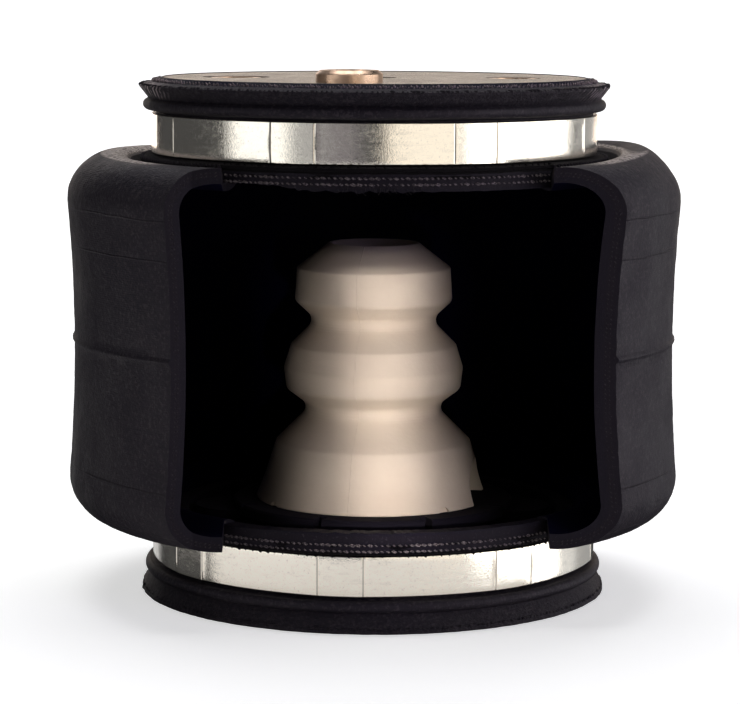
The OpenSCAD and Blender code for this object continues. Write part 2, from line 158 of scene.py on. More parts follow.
def half_surface(offset):
    """One surface of the wall, from its bevelled end to mid height, at an offset from the inner one."""
    reach = offset * BEVEL_PER_OFFSET
    return [
        (FACE_R + reach * BEVEL.x, LIP_CLEAR + reach * BEVEL.y),
        (NECK_R + offset, FLARE_DEPTH + offset * math.tan(FLARE / 2)),
        *arc(BEND_C, NECK_BEND - offset, 180, 90 - CREST_SLOPE, 16),
        *arc(SHOULDER_C, SHOULDER_ROUND - WALL_T + offset, -90 - CREST_SLOPE, WAIST_ANGLE, 36),
        *arc((WAIST_C_R, MID), WAIST_R + WALL_T - offset, 180 + WAIST_ANGLE, 180, 20)[1:],
    ]


def cover_surface(lip_depth=LIP_DEPTH, grooved=True):
    """Outer surface of the cover: lip, bead, neck, root (with or without its groove), wall and mid ridge."""
    bead_c = (BEAD_R - BEAD_ROUND, RING_DEPTH - 2.5)
    near_ridge = 180 + math.degrees(math.asin(1.2 / WAIST_R))
    lip = [(LIP_R, lip_depth), (LIP_R - 0.1, lip_depth + 0.7), (BEAD_R - 1.5, LIP_DEPTH + 3.8)]
    neck = [(CLAMP_R, RING_DEPTH - 0.4), (CLAMP_R, ROOT_DEPTH - 0.2), (RING_OUT_R + 0.4, ROOT_DEPTH)]
    return [
        *braced(lip),
        *arc(bead_c, BEAD_ROUND, -65, 100, 14),
        *braced(neck),
        (COLLAR_R - 0.5, ROOT_DEPTH + 0.3),
        *([(COLLAR_R - 0.2, ROOT_DEPTH + 1.0), (COLLAR_R - 0.75, ROOT_DEPTH + 1.3)] if grooved else []),
        (COLLAR_R - 0.1, ROOT_DEPTH + (1.7 if grooved else 0.9)),
        (COLLAR_R + 0.1, (ROOT_DEPTH + DISH_DEPTH) / 2 + 0.4),
        *arc(BEND_C, NECK_BEND - WALL_T, 90 - CREST_SLOPE / 2, 90 - CREST_SLOPE, 4),
        *arc(SHOULDER_C, SHOULDER_ROUND, -90 - CREST_SLOPE, WAIST_ANGLE, 32),
        *arc((WAIST_C_R, MID), WAIST_R, 180 + WAIST_ANGLE, near_ridge, 20)[1:],
        (WAIST_C_R - WAIST_R + 0.7 * RIDGE_H, MID - 0.5),
        (WAIST_C_R - WAIST_R + RIDGE_H, MID - 0.2),
    ]


def braced(points, reach=0.12):
    """The outline with extra points beside its corners, which keeps long flats flat when they are shaded."""
    kept = [points[0]]
    for a, b in zip(points, points[1:]):
        run = math.dist(a, b)
        if run > 4 * reach:
            for share in (reach / run, 1 - reach / run):
                kept.append((a[0] + (b[0] - a[0]) * share, a[1] + (b[1] - a[1]) * share))
        kept.append(b)
    return kept


def mirrored(half):
    """The same surface for the upper half."""
    return [(r, SPRING_H - depth) for r, depth in half]


def layer_loop(inner, outer, low_outer=None):
    """Closed outline of a layer: up its inner surface and down its outer one."""
    rising = inner + mirrored(inner)[::-1][1 if inner[-1][1] == MID else 0:]
    return rising + mirrored(outer) + (low_outer or outer)[::-1]


def spaced(items, apart, least):
    """The items without those that are too near to the one kept before."""
    kept = []
    for item in items:
        if not kept or apart(item, kept[-1]) > least:
            kept.append(item)
    return kept


def tidy_loop(loop):
    """The outline without points that repeat the one before."""
    kept = spaced(loop, math.dist, 0.004)
    return kept if math.dist(kept[0], kept[-1]) > 0.004 else kept[:-1]


# Meshes

def spun(theta, radius, height):
    """A point in metres. Theta is 0 at the front and grows to the right."""
    return Vector((radius * math.sin(theta), -radius * math.cos(theta), height)) * MM


def add_object(name, data, *materials):
    thing = bpy.data.objects.new(name, data)
    bpy.context.scene.collection.objects.link(thing)
    for m in materials:
        thing.data.materials.append(m)
    return thing


def add_node(tree, kind, inputs=None, **settings):
    """The outputs of a new node in a tree. Each input is given as a value or as the socket that feeds it."""
    made = tree.nodes.new(kind)
    for key, value in settings.items():
        setattr(made, key, value)
    for key, value in (inputs or {}).items():
        if isinstance(value, bpy.types.NodeSocket):
            tree.links.new(value, made.inputs[key])
        else:
            made.inputs[key].default_value = value
    return made.outputs


def add_built(name, bm, *materials):
    """An object from a bmesh, which is freed."""
    mesh = bpy.data.meshes.new(name)
    bm.to_mesh(mesh)
    bm.free()
    return add_object(name, mesh, *materials)


def on_points(mesh, name, vectors):
    """Keeps a vector for every point of a mesh."""
    values = [part for vector in vectors for part in vector]
    mesh.attributes.new(name, "FLOAT_VECTOR", "POINT").data.foreach_set("vector", values)


def smooth(mesh):
    mesh.shade_smooth()
    mesh.set_sharp_from_angle(angle=SHARP_ANGLE)


def turned(name, loop_at, steps, *materials):
    """A turned piece. loop_at(theta) gives the section there, as [radius, height] points in millimetres.

    steps is a number of even steps, or the list of angles in radians.
    """
    angles = steps if isinstance(steps, list) else [2 * math.pi * i / steps - math.pi for i in range(steps)]
    steps = len(angles)
    bm = bmesh.new()
    uv = bm.loops.layers.uv.new("UVMap")
    rings = []
    for theta in angles:
        rings.append([bm.verts.new(spun(theta, r, h)) for r, h in loop_at(theta)])
    section = loop_at(0)
    count = len(section)
    runs = [0.0]
    for j in range(count):
        runs.append(runs[-1] + math.dist(section[j], section[(j + 1) % count]))
    lengths = [(a - angles[0]) * UV_R * MM for a in angles] + [2 * math.pi * UV_R * MM]
    for i in range(steps):
        here, after = rings[i], rings[(i + 1) % steps]
        for j in range(count):
            k = (j + 1) % count
            face = bm.faces.new((here[j], after[j], after[k], here[k]))
            for loop, (a, b) in zip(face.loops, ((i, j), (i + 1, j), (i + 1, j + 1), (i, j + 1))):
                loop[uv].uv = (lengths[a], runs[b] * MM)
    bmesh.ops.recalc_face_normals(bm, faces=bm.faces)
    piece = add_built(name, bm, *materials)
    smooth(piece.data)
    return piece


def plain_copy(thing, name):
    """The evaluated object as a plain mesh under a new name. The first one is removed."""
    mesh = bpy.data.meshes.new_from_object(thing.evaluated_get(bpy.context.evaluated_depsgraph_get()))
    mesh.name = name
    materials = list(mesh.materials)
    bpy.data.objects.remove(thing)
    result = add_object(name, mesh)
    for i, m in enumerate(materials):
        mesh.materials[i] = m
    return result


def without(thing, cutter, name):
    """thing with the cutter's volume taken out."""
    cut = thing.modifiers.new("window", "BOOLEAN")
    cut.operation = "DIFFERENCE"
    cut.solver = "MANIFOLD"
    cut.object = cutter
    result = plain_copy(thing, name)
    smooth(result.data)
    return result


# Window

def window_y(x):
    """Y of the window plane at an x."""
    return -WINDOW_DIST / math.cos(WINDOW_TURN) + x * math.tan(WINDOW_TURN)


LEFT_START = Vector((-WINDOW_LEFT, -math.sqrt(SHOULDER_R ** 2 - WINDOW_LEFT ** 2)))
LEFT_ALONG = Vector((math.cos(LEFT_FACE_TURN), math.sin(LEFT_FACE_TURN)))


def left_corner():
    """Where the turned left face meets the window plane."""
    slope = math.tan(WINDOW_TURN)
    run = (window_y(LEFT_START.x) - LEFT_START.y) / (LEFT_ALONG.y - LEFT_ALONG.x * slope)
    return LEFT_START + run * LEFT_ALONG


def window_outline():
    """Plan of the window's cut, in millimetres, finely divided where it meets the wall."""
    start, end = COLLAR_SPAN
    corner = left_corner()
    points = []

    def line(a, b):
        count = max(1, round((b - a).length / PLAN_STEP))
        points.extend(a.lerp(b, i / count) for i in range(count))

    def on_plane(x):
        return Vector((x, window_y(x)))

    def on_circle(theta):
        return Vector((COLLAR_R * math.sin(theta), -COLLAR_R * math.cos(theta)))

    line(LEFT_START - LEFT_FACE_REACH * LEFT_ALONG, corner)
    line(corner, on_plane(COLLAR_LEFT))
    line(on_plane(COLLAR_LEFT), on_circle(start))
    points.extend(on_circle(start + (end - start) * i / COLLAR_STEPS) for i in range(COLLAR_STEPS))
    line(on_circle(end), on_plane(COLLAR_RIGHT))
    line(on_plane(COLLAR_RIGHT), on_plane(PLANE_END))
    points += [on_plane(PLANE_END), Vector((CUTTER_FAR, -CUTTER_FAR)), Vector((-CUTTER_FAR, -CUTTER_FAR))]
    return points


def torn_edge(x, upper):
    """Depth of the collar's torn inner edge at an x. It is most ragged in the middle of the upper end."""
    ragged = TORN_RAGGED[upper] * math.exp(-((x + 8) / 22) ** 2) + 0.12
    shreds = noise.noise(Vector((x * 0.35, 3.0, upper))) + 0.8 * noise.noise(Vector((x * 1.1, 7.0, upper)))
    return TORN_DEPTH - TORN_STEP_BACK[upper] / (1 + math.exp((x + 23) / 2)) + ragged * shreds


def window_cutter(cut_material, outer_material):
    """The volume that is cut away, with the slight waviness of a hand-held knife.

    Beyond the torn inner edge of the collars it reaches further in.
    """
    plan = window_outline()
    bm = bmesh.new()
    grid = []

    def level(height_at, inward=False):
        ring = []
        for p in plan:
            height = height_at(p.x)
            at = Vector((p.x, p.y, height))
            wave = sum(size * noise.noise(at * rate) for size, rate in KNIFE_WAVES)
            reach = wave - (UNDERCUT if inward and abs(p.length - COLLAR_R) < 0.01 else 0.0)
            ring.append(bm.verts.new((at + reach * p.normalized().to_3d()) * MM))
        grid.append(ring)

    def even_levels(low, high, inward=False):
        for k in range(CUTTER_ROWS + 1):
            h = WINDOW_MARGIN + (SPRING_H - 2 * WINDOW_MARGIN) * k / CUTTER_ROWS
            if low < h < high:
                level(lambda x: h, inward)

    even_levels(0, TORN_FROM)
    level(lambda x: torn_edge(x, False))
    level(lambda x: torn_edge(x, False) + TEAR_STEP, True)
    even_levels(TORN_TO, SPRING_H - TORN_TO, True)
    level(lambda x: SPRING_H - torn_edge(x, True) - TEAR_STEP, True)
    level(lambda x: SPRING_H - torn_edge(x, True))
    even_levels(SPRING_H - TORN_FROM, SPRING_H)
    for low, high in zip(grid, grid[1:]):
        for j in range(len(plan)):
            k = (j + 1) % len(plan)
            bm.faces.new((low[j], low[k], high[k], high[j]))
    bm.faces.new(grid[0][::-1])
    bm.faces.new(grid[-1])
    bmesh.ops.recalc_face_normals(bm, faces=bm.faces)
    for face in bm.faces:
        face.material_index = 1
    return add_built("window_cutter", bm, outer_material, cut_material)


# Materials

REST_PLACE = "rest_place"
CREASE_SHADE = "crease"


def metres(*sizes):
    return [size * MM for size in sizes]


class Finish:
    """A material and short ways to add nodes to it. Lengths are in metres.

    The pattern of a flexible one stays on the rubber when the sleeve stretches.
    """

    def __init__(self, name, colour, roughness, metallic=0.0, specular=0.5, flexible=False, **sockets):
        self.material = bpy.data.materials.new(name)
        self.material.use_nodes = True
        self.tree = self.material.node_tree
        self.shader = self.tree.nodes["Principled BSDF"]
        sockets.update({"Base Color": (*colour, 1), "Roughness": roughness, "Metallic": metallic,
                        "Specular IOR Level": specular})
        for socket, value in sockets.items():
            self.shader.inputs[socket.replace("_", " ")].default_value = value
        self.node = partial(add_node, self.tree)
        place = self.node("ShaderNodeTexCoord")
        self.spot, self.uv = place["Object"], place["UV"]
        if flexible:
            self.spot = self.node("ShaderNodeAttribute", attribute_name=REST_PLACE)["Vector"]

    def link(self, source, socket):
        self.tree.links.new(source, self.shader.inputs[socket])

    def stretch(self, x, y, z):
        return self.node("ShaderNodeMapping", {"Vector": self.spot, "Scale": (x, y, z)})[0]

    def noise(self, scale, detail=4.0, roughness=0.6, source=None):
        inputs = {"Vector": source or self.spot, "Scale": scale, "Detail": detail, "Roughness": roughness}
        return self.node("ShaderNodeTexNoise", inputs)["Fac"]

    def maths(self, operation, a, b=0.0):
        return self.node("ShaderNodeMath", {0: a, 1: b}, operation=operation)[0]

    def times(self, first, *others):
        for other in others:
            first = self.maths("MULTIPLY", first, other)
        return first

    def plus(self, a, b):
        return self.maths("ADD", a, b)

    def place(self):
        """The x, y and z of a point, and how deep it is below the nearer mounting face."""
        x, y, z = self.node("ShaderNodeSeparateXYZ", {"Vector": self.spot})
        from_middle = self.maths("ABSOLUTE", self.maths("SUBTRACT", z, MID * MM))
        return x, y, z, self.maths("SUBTRACT", MID * MM, from_middle)

    def span(self, source, low, high, to_low=0.0, to_high=1.0):
        """source from low..high to to_low..to_high, held at both ends."""
        inputs = {"Value": source, "From Min": low, "From Max": high, "To Min": to_low, "To Max": to_high}
        return self.node("ShaderNodeMapRange", inputs)[0]

    def fall(self, source, low, high):
        """1 up to low, 0 from high on."""
        return self.span(source, low, high, 1.0, 0.0)

    def blend(self, share, a, b):
        """Colour a where share is 0 and b where it is 1."""
        a, b = (c if isinstance(c, bpy.types.NodeSocket) else (*c, 1) for c in (a, b))
        return self.node("ShaderNodeMix", {0: share, 6: a, 7: b}, data_type="RGBA")[2]

    def bump(self, height, distance, under=None):
        inputs = {"Height": height, "Distance": distance, "Strength": 1.0}
        if under:
            inputs["Normal"] = under
        return self.node("ShaderNodeBump", inputs)[0]


def cover_rubber():
    """Black cover rubber with the weave of the curing wrap pressed into it, and faint mould lines.

    Its crest carries a rough zone with a painted sheen that fades towards the front and painted shade in its
    groove; its lips are rough, and the strands at the sides of the upper lip carry a painted rim highlight.
    """
    f = Finish("cover_rubber", (0.0095, 0.008, 0.0135), 0.62, specular=0.23, flexible=True,
               Specular_Tint=(0.95, 0.86, 1.0, 1))
    u, v, _ = f.node("ShaderNodeSeparateXYZ", {"Vector": f.uv})
    x, y, z, from_end = f.place()
    across = f.stretch(1.0, 1.0, 0.0)
    radius = f.node("ShaderNodeVectorMath", {0: across}, operation="LENGTH")["Value"]

    rate = 2 * math.pi / WEAVE_PITCH
    warp, weft = (f.maths("SINE", f.times(f.maths(way, u, v), rate)) for way in ("ADD", "SUBTRACT"))
    weave = f.times(f.times(warp, weft), f.span(f.noise(38.0, 5.0), 0.35, 0.65, 0.2, 0.8))
    grain = f.plus(f.noise(1500.0, 3.0), f.noise(560.0, 2.0))
    lip = f.fall(from_end, *LIP_END)
    shoulder = f.times(f.span(from_end, *SHOULDER_START), f.fall(from_end, *SHOULDER_END))
    # Mask of the rough zone on the crest, which also carries a painted sheen that fades out towards the front
    rough_zone_painted_sheen = f.times(f.span(radius, *SHEEN_BAND_START_R), f.fall(radius, *SHEEN_BAND_END_R), shoulder)
    rough_zone_painted_sheen = f.times(rough_zone_painted_sheen, f.span(y, *SHEEN_BAND_FADE_Y))
    # Mask of the painted shade in the groove between the ring and the crest
    groove = f.times(f.fall(radius, *GROOVE_SHADE_R), shoulder)
    hide = f.noise(900.0, 5.0, 0.7, source=f.stretch(1.0, 1.0, 1.6))
    height = f.plus(f.plus(f.times(weave, 0.15), grain), f.times(f.maths("MAXIMUM", lip, rough_zone_painted_sheen), hide, 4.0))
    wavy = f.plus(z, f.times(f.noise(30.0, 2.0), 0.0022))
    lines = 0.0
    for at in MOULD_LINES:
        away = f.maths("ABSOLUTE", f.maths("SUBTRACT", wavy, at))
        lines = f.plus(lines, f.fall(away, 0.0, LINE_HALF))
    f.link(f.bump(lines, 0.00016, under=f.bump(height, 0.00019)), "Normal")
    f.link(f.maths("MAXIMUM", f.span(f.noise(60.0, 6.0), 0.3, 0.7, 0.5, 0.7), groove), "Roughness")

    dust = f.span(f.noise(22.0, 7.0, 0.7), 0.48, 0.75)
    # Base colour: random dust first, then the painted light of the lip sides, crest and groove
    dust_and_painted_light = f.blend(dust, (0.0048, 0.0038, 0.0078), (0.010, 0.0082, 0.012))
    dust_and_painted_light = f.blend(f.span(f.noise(900.0, 4.0, 0.7), 0.52, 0.62), dust_and_painted_light, (0.031, 0.026, 0.031))
    dust_and_painted_light = f.blend(f.times(lip, f.span(hide, 0.5, 0.62, 0.0, 0.5)), dust_and_painted_light, (0.045, 0.038, 0.045))
    # Mask of the painted rim highlight: pale strands only at the sides of the upper lip
    strands = f.span(f.maths("SINE", f.times(f.plus(u, v), 2 * math.pi / STRAND_PITCH)), 0.0, 0.7)
    upper_sides = f.times(f.span(f.maths("ABSOLUTE", x), *RIM_LIGHT_X), f.maths("GREATER_THAN", z, MID * MM))
    strands_painted_rim_light = f.times(lip, upper_sides, strands, f.span(f.noise(350.0, 2.0), 0.38, 0.56))
    # Painted rim highlight on the strands at the sides of the upper lip
    dust_and_painted_light = f.blend(strands_painted_rim_light, dust_and_painted_light, (0.60, 0.50, 0.51))
    # Painted sheen on the crest
    dust_and_painted_light = f.blend(f.times(rough_zone_painted_sheen, f.span(hide, 0.43, 0.52, 0.15, 1.0)), dust_and_painted_light, (0.50, 0.44, 0.41))
    # Painted shade: the groove goes near-black
    dust_and_painted_light = f.blend(groove, dust_and_painted_light, (0.0006, 0.0005, 0.001))
    f.link(f.blend(f.times(lines, 0.25), dust_and_painted_light, (0.02, 0.017, 0.02)), "Base Color")
    return f.material


def cut_rubber(name, colour, pale):
    """Rubber as a knife leaves it: matt, with drag lines and pale specks of filler."""
    f = Finish(name, colour, 0.66, specular=0.15, flexible=True, Specular_Tint=(0.95, 0.86, 1.0, 1))
    drag = f.noise(900.0, 3.0, source=f.stretch(1.0, 1.0, 0.12))
    specks = f.span(f.noise(1500.0, 2.0), 0.62, 0.72)
    f.link(f.blend(f.times(specks, 0.6), colour, pale), "Base Color")
    f.link(f.bump(f.plus(drag, f.noise(3000.0, 2.0)), 0.00012), "Normal")
    return f.material


def liner_rubber():
    """Smooth black liner, slightly glossy, with faint lengthwise streaks."""
    f = Finish("liner_rubber", (0.0018, 0.0014, 0.0105), 0.62, specular=0.05, flexible=True)
    f.link(f.bump(f.noise(220.0, 4.0, source=f.stretch(1.0, 1.0, 0.25)), 0.0002), "Normal")
    f.link(f.span(f.noise(40.0), 0.3, 0.7, 0.5, 0.7), "Roughness")
    return f.material


def cord_yarn(name, dark, pale):
    """Twisted polyamide cord, mauve-grey with paler fibres."""
    f = Finish(name, dark, 0.75, specular=0.2, flexible=True)
    fibre = f.noise(2400.0, 2.0)
    f.link(f.blend(f.span(fibre, 0.42, 0.6), dark, pale), "Base Color")
    f.link(f.bump(fibre, 0.00008), "Normal")
    return f.material


def bright_aluminium():
    """Smooth aluminium strip with a fine speckle, pressed by the crimping jaws."""
    f = Finish("bright_aluminium", (0.84, 0.80, 0.73), 0.16, metallic=1.0)
    speckle = f.noise(1900.0, 2.0)
    streak = f.noise(240.0, 4.0, source=f.stretch(1.0, 1.0, 5.0))
    f.link(f.bump(f.plus(speckle, f.times(f.noise(420.0, 3.0), 0.5)), 0.000028), "Normal")
    f.link(f.span(f.plus(f.noise(700.0, 3.0), streak), 0.8, 1.3, 0.13, 0.26), "Roughness")
    worn = f.blend(f.span(streak, 0.55, 0.7, 0.0, 0.22), (0.86, 0.82, 0.75), (0.62, 0.59, 0.55))
    worn = f.blend(f.span(speckle, 0.6, 0.72, 0.0, 0.5), worn, (0.5, 0.48, 0.46))
    # Painted shade: the aluminium turns dark along the creases beside the ribs
    crease = f.node("ShaderNodeAttribute", attribute_name=CREASE_SHADE)["Fac"]
    f.link(f.blend(f.span(crease, 0.1, 0.8, 0.0, 0.7), worn, (0.22, 0.19, 0.17)), "Base Color")
    return f.material


def machined_brass():
    """Turned brass, pinkish gold, slightly tarnished."""
    f = Finish("machined_brass", (0.72, 0.50, 0.34), 0.3, metallic=1.0)
    tarnish = f.span(f.noise(260.0, 5.0), 0.45, 0.72)
    f.link(f.blend(tarnish, (0.63, 0.44, 0.32), (0.34, 0.235, 0.18)), "Base Color")
    f.link(f.span(f.noise(420.0, 4.0), 0.3, 0.7, 0.22, 0.42), "Roughness")
    f.link(f.bump(f.noise(1600.0, 2.0, source=f.stretch(1.0, 1.0, 3.0)), 0.00003), "Normal")
    return f.material


def filled_nylon(name, specular):
    """Glass-filled nylon with a pale bloom and flow streaks on the mounting faces; deeper in it is painted
    near-black and rough as shade.
    """
    f = Finish(name, (0.09, 0.075, 0.062), 0.36, specular=specular, Specular_Tint=(1.0, 0.92, 0.83, 1))
    flow = f.noise(55.0, 7.0, 0.7, source=f.stretch(0.35, 1.0, 1.0))
    fibres = f.noise(1300.0, 3.0, source=f.stretch(0.12, 1.0, 1.0))
    pale = f.blend(f.span(flow, 0.38, 0.66), (0.11, 0.086, 0.068), (0.28, 0.23, 0.185))
    pale = f.blend(f.span(fibres, 0.52, 0.7, 0.0, 0.8), pale, (0.40, 0.34, 0.28))
    # Painted shade: a few millimetres below the mounting faces the nylon turns near-black and rough
    painted_shade_inside = f.span(f.place()[3], *NYLON_PAINTED_SHADE)
    f.link(f.blend(painted_shade_inside, pale, (0.014, 0.012, 0.018)), "Base Color")
    f.link(f.bump(f.plus(fibres, f.noise(500.0, 3.0)), 0.00013), "Normal")
    f.link(f.maths("MAXIMUM", f.span(fibres, 0.38, 0.64, 0.2, 0.62), painted_shade_inside), "Roughness")
    return f.material


def cast_urethane():
    """Cream cast urethane, matt, with a skin that is a little darker in random clouds."""
    f = Finish("cast_urethane", (0.66, 0.55, 0.43), 0.55, specular=0.3)
    cloud = f.span(f.noise(26.0, 5.0), 0.35, 0.7)
    f.link(f.blend(cloud, (0.69, 0.585, 0.46), (0.60, 0.49, 0.38)), "Base Color")
    skin = f.bump(f.plus(f.noise(700.0, 4.0), f.noise(120.0, 2.0)), 0.00008)
    across_parting = (math.cos(PARTING_TURN), math.sin(PARTING_TURN), 0)
    across = f.node("ShaderNodeVectorMath", {0: f.spot, 1: across_parting}, operation="DOT_PRODUCT")
    parting = f.fall(f.maths("ABSOLUTE", across["Value"]), 0.0, PARTING_HALF)
    f.link(f.bump(parting, 0.0001, under=skin), "Normal")
    f.link(f.span(f.noise(80.0, 4.0), 0.3, 0.7, 0.48, 0.64), "Roughness")
    return f.material


def plated_steel():
    """Zinc-plated steel with a fine turned grain."""
    f = Finish("plated_steel", (0.56, 0.57, 0.58), 0.32, metallic=1.0)
    f.link(f.span(f.noise(300.0, 5.0), 0.3, 0.7, 0.24, 0.44), "Roughness")
    f.link(f.bump(f.noise(1500.0, 3.0, source=f.stretch(1.0, 1.0, 4.0)), 0.00003), "Normal")
    return f.material


WEAVE_TURNS = 420
WEAVE_PITCH = 2 * math.pi * UV_R * MM / WEAVE_TURNS
STRAND_PITCH = 3.0 * MM
MOULD_LINES = metres(27.5, 40.0, 103.0, 114.0)
LINE_HALF = 0.35 * MM

# Zones of the cover: its lip, the shoulder, and on the shoulder the rough zone with its painted sheen and the
# groove with its painted shade
LIP_END = metres(4.5, 6.0)
SHOULDER_START = metres(20.0, 20.5)
SHOULDER_END = metres(26.0, 27.0)
GROOVE_SHADE_R = metres(70.2, 71.0)
SHEEN_BAND_START_R = metres(71.0, 71.6)
SHEEN_BAND_END_R = metres(78.5, 79.4)
SHEEN_BAND_FADE_Y = metres(-52.0, -44.0)
# Where the painted rim highlight on the upper lip's strands sets in at each side
RIM_LIGHT_X = metres(56.0, 64.0)

# Depths below the mounting faces over which the nylon fades into painted shade
NYLON_PAINTED_SHADE = metres(3.0, 8.0)
PARTING_TURN = math.radians(-12)
PARTING_HALF = 0.22 * MM

COVER = cover_rubber()
COVER_CUT = cut_rubber("cut_cover", (0.0065, 0.0052, 0.009), (0.045, 0.038, 0.045))
PLY_CUT = cut_rubber("cut_ply", (0.0085, 0.0068, 0.0105), (0.055, 0.046, 0.055))
LINER_CUT = cut_rubber("cut_liner", (0.0065, 0.0055, 0.010), (0.035, 0.03, 0.038))
LINER = liner_rubber()
# A paler copy of the cover rubber for the root nibs: its lighter colour and pale specks are painted highlights
# on the nib tips
NIB_PAINTED_HIGHLIGHT = cut_rubber("nib_rubber_painted_highlight", (0.012, 0.010, 0.014), (0.10, 0.085, 0.09))
CORD = cord_yarn("cord_yarn", (0.04, 0.032, 0.038), (0.27, 0.225, 0.22))
CORD_PALE = cord_yarn("cord_pale", (0.10, 0.075, 0.085), (0.52, 0.42, 0.42))
CORD_DARK = cord_yarn("cord_dark", (0.012, 0.010, 0.014), (0.05, 0.042, 0.046))
ALUMINIUM = bright_aluminium()
BRASS = machined_brass()
NYLON = filled_nylon("filled_nylon", 0.75)
NYLON_INSIDE = filled_nylon("filled_nylon_matt", 0.1)
URETHANE = cast_urethane()
STEEL = plated_steel()

# Sleeve

# Where the soft wall leans out: the lift of its crest in millimetres, its direction and width in degrees
LEANS = ((3.2, 100, 38), (1.1, 265, 30))
LEAN_R = (67.6, 70.6)
LEAN_END_R = (76.5, 88.0)
LEAN_H = (104.0, 124.0)

# Lumps of the hand-wrapped cover
LIP_LUMPS = 0.3
WALL_LUMPS = 0.16
LUMP_RATE = 0.35


def flexes(piece):
    """Keeps where every point of the piece rests, for its patterns, and bakes its transform."""
    on_points(piece.data, REST_PLACE, [v.co for v in piece.data.vertices])
    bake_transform(piece)


def crest_lift(theta, r, h):
    """How much higher than its drawing the upper crest sits."""
    share = share_between(r, *LEAN_R) * share_between(h, *LEAN_H) * (1 - share_between(r, *LEAN_END_R))
    angle = math.degrees(theta) % 360
    lift = sum(height * math.exp(-((angle - at) / width) ** 2) for height, at, width in LEANS)
    return lift * share ** 2 * (3 - 2 * share)


def leaning(loop, inner, lumpy):
    """A section that leans with crest_lift. A lumpy one has the slight lumps of hand-wrapped rubber outside.

    The inner edge of the rubber stands a little above the upper mounting face.
    """
    smooth_points = set(inner + mirrored(inner))

    def section(theta):
        moved = []
        for r, h in loop:
            depth = min(h, SPRING_H - h)
            lift = crest_lift(theta, r, h)
            if r < FACE_R + 0.1 and h > SPRING_H - 2 * LIP_CLEAR:
                lift += EDGE_RAISE
            if lumpy and (r, h) not in smooth_points and not 0.7 + LIP_DEPTH < depth < ROOT_DEPTH + 0.5:
                at = spun(theta, r, h) / MM
                r += (LIP_LUMPS if depth < RING_DEPTH else WALL_LUMPS) * noise.noise(at * LUMP_RATE)
            moved.append((r, h + lift))
        return moved

    return section


def build_sleeve():
    cutter = window_cutter(COVER_CUT, COVER)
    surfaces = [half_surface(t) for t in (0.0, LINER_T, LINER_T + PLY_T, LINER_T + 2 * PLY_T)]
    surfaces.append(cover_surface())
    layers = (("inner_liner", LINER, LINER_CUT, "liner_rubber"),
              ("inner_cord_ply", LINER, PLY_CUT, "ply_rubber"),
              ("outer_cord_ply", LINER, PLY_CUT, "ply_rubber"),
              ("outer_cover", COVER, COVER_CUT, "cover_rubber"))
    for (node, skin, cut, slot), inner, outer in zip(layers, surfaces, surfaces[1:]):
        is_cover = node == "outer_cover"
        low_outer = cover_surface(RESTING_LIP_DEPTH, False) if is_cover else None
        loop = tidy_loop(layer_loop(inner, outer, low_outer))
        blank = turned("blank", leaning(loop, inner, is_cover), ROUND_STEPS, skin, cut)
        piece = without(blank, cutter, node + "_rubber")
        flexes(piece)
        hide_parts(node)
    bpy.data.objects.remove(cutter)


build_sleeve()

# Cord ends and other repeated pieces

def scatter_tree(name):
    """Puts a small form on every point, turned to the point's facing, with a random size and spin."""
    tree = bpy.data.node_groups.new(name, "GeometryNodeTree")
    sockets = {}
    tree.interface.new_socket("Geometry", in_out="INPUT", socket_type="NodeSocketGeometry")
    for label, kind in (("Form", "Object"), ("Size", "Float"), ("Variation", "Float"), ("Spin", "Float"),
                        ("Seed", "Int"), ("Finish", "Material")):
        socket = tree.interface.new_socket(label, in_out="INPUT", socket_type="NodeSocket" + kind)
        sockets[label] = socket.identifier
    tree.interface.new_socket("Geometry", in_out="OUTPUT", socket_type="NodeSocketGeometry")

    new = partial(add_node, tree)
    given = new("NodeGroupInput")
    form = new("GeometryNodeObjectInfo", {"Object": given["Form"]})["Geometry"]
    rotation = None
    for label, settings in (("facing", {"axis": "Z"}), ("along", {"axis": "X", "pivot_axis": "Z"})):
        way = new("GeometryNodeInputNamedAttribute", {"Name": label}, data_type="FLOAT_VECTOR")["Attribute"]
        inputs = {"Rotation": rotation, "Vector": way} if rotation else {"Vector": way}
        rotation = new("FunctionNodeAlignRotationToVector", inputs, **settings)[0]
    angle = new("FunctionNodeRandomValue", {3: given["Spin"], "Seed": given["Seed"]}, data_type="FLOAT")[1]
    own_turn = new("FunctionNodeAxisAngleToRotation", {"Angle": angle})[0]
    rotation = new("FunctionNodeRotateRotation", {0: rotation, 1: own_turn}, rotation_space="LOCAL")[0]
    limits = []
    for sign in ("SUBTRACT", "ADD"):
        share = new("ShaderNodeMath", {0: 1.0, 1: given["Variation"]}, operation=sign)[0]
        limits.append(new("ShaderNodeMath", {0: given["Size"], 1: share}, operation="MULTIPLY")[0])
    low, high = limits
    size = new("FunctionNodeRandomValue", {2: low, 3: high, "Seed": given["Seed"]}, data_type="FLOAT")[1]
    inputs = {"Points": given["Geometry"], "Instance": form, "Rotation": rotation, "Scale": size}
    real = new("GeometryNodeRealizeInstances", {0: new("GeometryNodeInstanceOnPoints", inputs)[0]})[0]
    finished = new("GeometryNodeSetMaterial", {"Geometry": real, "Material": given["Finish"]})[0]
    tree.links.new(finished, tree.nodes.new("NodeGroupOutput").inputs[0])
    return tree, sockets


SCATTER, SCATTER_SOCKETS = scatter_tree("place_forms")


